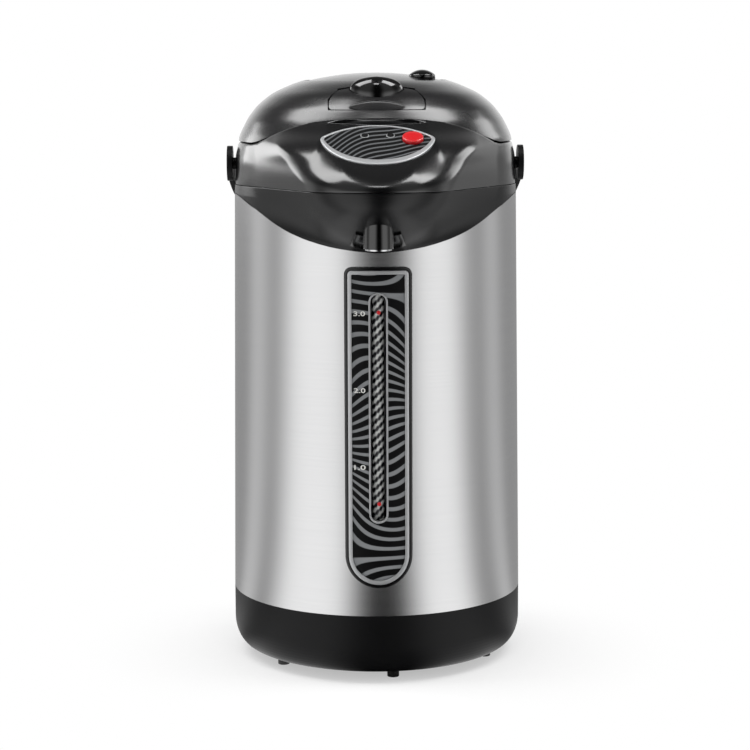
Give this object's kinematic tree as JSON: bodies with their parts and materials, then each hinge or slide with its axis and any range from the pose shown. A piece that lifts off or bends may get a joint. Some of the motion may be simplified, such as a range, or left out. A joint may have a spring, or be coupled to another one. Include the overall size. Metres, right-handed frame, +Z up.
{
  "type": "electric thermo pot",
  "caption": "Tall round electric hot water pot with a steel body, dark domed head, front spout, sight gauge, push-top pump, hinged lid, carrying bail and swivel base.",
  "frame": {"origin": "centre of the circle of feet, on the table the pot stands on", "axes": "+Z up; the spout, control panel and gauge face -Y; +X is the right-hand side seen from the front"},
  "size_m": [0.2032, 0.2659, 0.4045],
  "materials": {
    "steel": "brushed",
    "bright_steel": "polished",
    "head_black": "gloss",
    "base_black": "satin",
    "trim_silver": "satin",
    "panel_black": "gloss",
    "red": "gloss",
    "clear": "clear",
    "lamp": "gloss",
    "rubber": "matte",
    "silicone": "matte",
    "inner_plastic": "matte",
    "felt": "matte",
    "circuit": "satin",
    "brass": "satin",
    "spring": "satin",
    "cast_alu": "cast"
  },
  "bodies": {
    "pot": {"base_housing": "base_black", "base_screws": "spring", "power_board": "circuit", "power_inlet": "inner_plastic", "inlet_pins": "brass", "pump_motor": "cast_alu", "pump_housing": "inner_plastic", "outer_shell": "steel", "gauge_frame": "panel_black", "gauge_bezel": "trim_silver", "gauge_face": "panel_black", "gauge_window": "clear", "level_marks": "red", "tank_wall": "steel", "tank_floor": "steel", "tank_seal_ring": "silicone", "tank_jacket": "felt", "heater_plate": "cast_alu", "thermal_cutouts": "cast_alu", "inlet_hose": "silicone", "riser_hose": "silicone", "lower_tube_fitting": "inner_plastic", "sight_tube": "clear", "upper_tube_fitting": "inner_plastic", "outlet_hose": "silicone", "spout_tube": "bright_steel", "spout_escutcheon": "trim_silver", "head_lower_shell": "head_black", "head_upper_shell": "head_black", "latch_catch": "spring", "panel_bezel": "trim_silver", "panel_face": "panel_black", "indicator_lamps": "lamp", "control_board": "circuit", "tact_switch": "inner_plastic", "lid_hinge_pin": "spring", "handle_pivots": "base_black"},
    "swivel": {"swivel_plate": "base_black", "feet": "rubber", "swivel_retainer": "spring"},
    "rotor": {"pump_rotor": "inner_plastic"},
    "lid": {"lid_cover": "head_black", "lid_inner_cover": "inner_plastic", "lid_steel_disc": "steel", "lid_gasket": "silicone", "air_valve": "inner_plastic", "flap_pins": "spring", "release_spring": "spring", "pump_bellows": "silicone", "bellows_spring": "spring"},
    "lock": {"lock_ring": "inner_plastic"},
    "plate": {"press_plate": "head_black", "lock_knob": "head_black"},
    "button": {"release_button": "panel_black"},
    "bolt": {"latch_bolt": "inner_plastic"},
    "flap": {"grip_flap": "head_black"},
    "handle": {"handle_bail": "head_black"},
    "dispense": {"dispense_button": "red"}
  },
  "joints": [
    {"name": "lid_hinge", "type": "hinge", "parent": "pot", "child": "lid", "pos_m": [0, 0.0845, 0.361], "axis": [-1, 0, 0], "range_deg": [0, 80]},
    {"name": "handle_swing", "type": "hinge", "parent": "pot", "child": "handle", "pos_m": [0, 0, 0.341], "axis": [-1, 0, 0], "range_deg": [-115, 0]},
    {"name": "swivel_turn", "type": "hinge", "parent": "pot", "child": "swivel", "pos_m": [0, 0, 0.006], "axis": [0, 0, 1], "continuous": true},
    {"name": "lock_twist", "type": "hinge", "parent": "lid", "child": "lock", "pos_m": [0, 0, 0.37], "axis": [0, 0, 1], "range_deg": [0, 30]},
    {"name": "pump_press", "type": "slide", "parent": "lock", "child": "plate", "axis": [0, 0, -1], "range_m": [0, 0.014], "stiffness_N_per_m": 400, "springref_m": -0.004, "deforming": ["pump_bellows", "bellows_spring"]},
    {"name": "release_press", "type": "slide", "parent": "lid", "child": "button", "axis": [0, 0, -1], "range_m": [0, 0.004], "stiffness_N_per_m": 500, "springref_m": -0.002, "deforming": ["release_spring"]},
    {"name": "bolt_slide", "type": "slide", "parent": "lid", "child": "bolt", "axis": [0, 1, 0], "range_m": [0, 0.0035]},
    {"name": "grip_lift", "type": "hinge", "parent": "lid", "child": "flap", "pos_m": [0, -0.0585, 0.3888], "axis": [-1, 0, 0], "range_deg": [0, 20]},
    {"name": "dispense_press", "type": "slide", "parent": "pot", "child": "dispense", "axis": [0, 0.4726, -0.8813], "range_m": [0, 0.0012], "stiffness_N_per_m": 800, "springref_m": -0.0005},
    {"name": "rotor_spin", "type": "hinge", "parent": "pot", "child": "rotor", "pos_m": [-0.04, -0.02, 0.045], "axis": [0, 0, 1], "continuous": true}
  ],
  "couplings": [
    {"joint": "bolt_slide", "follows": "release_press", "ratio": 0.875}
  ]
}
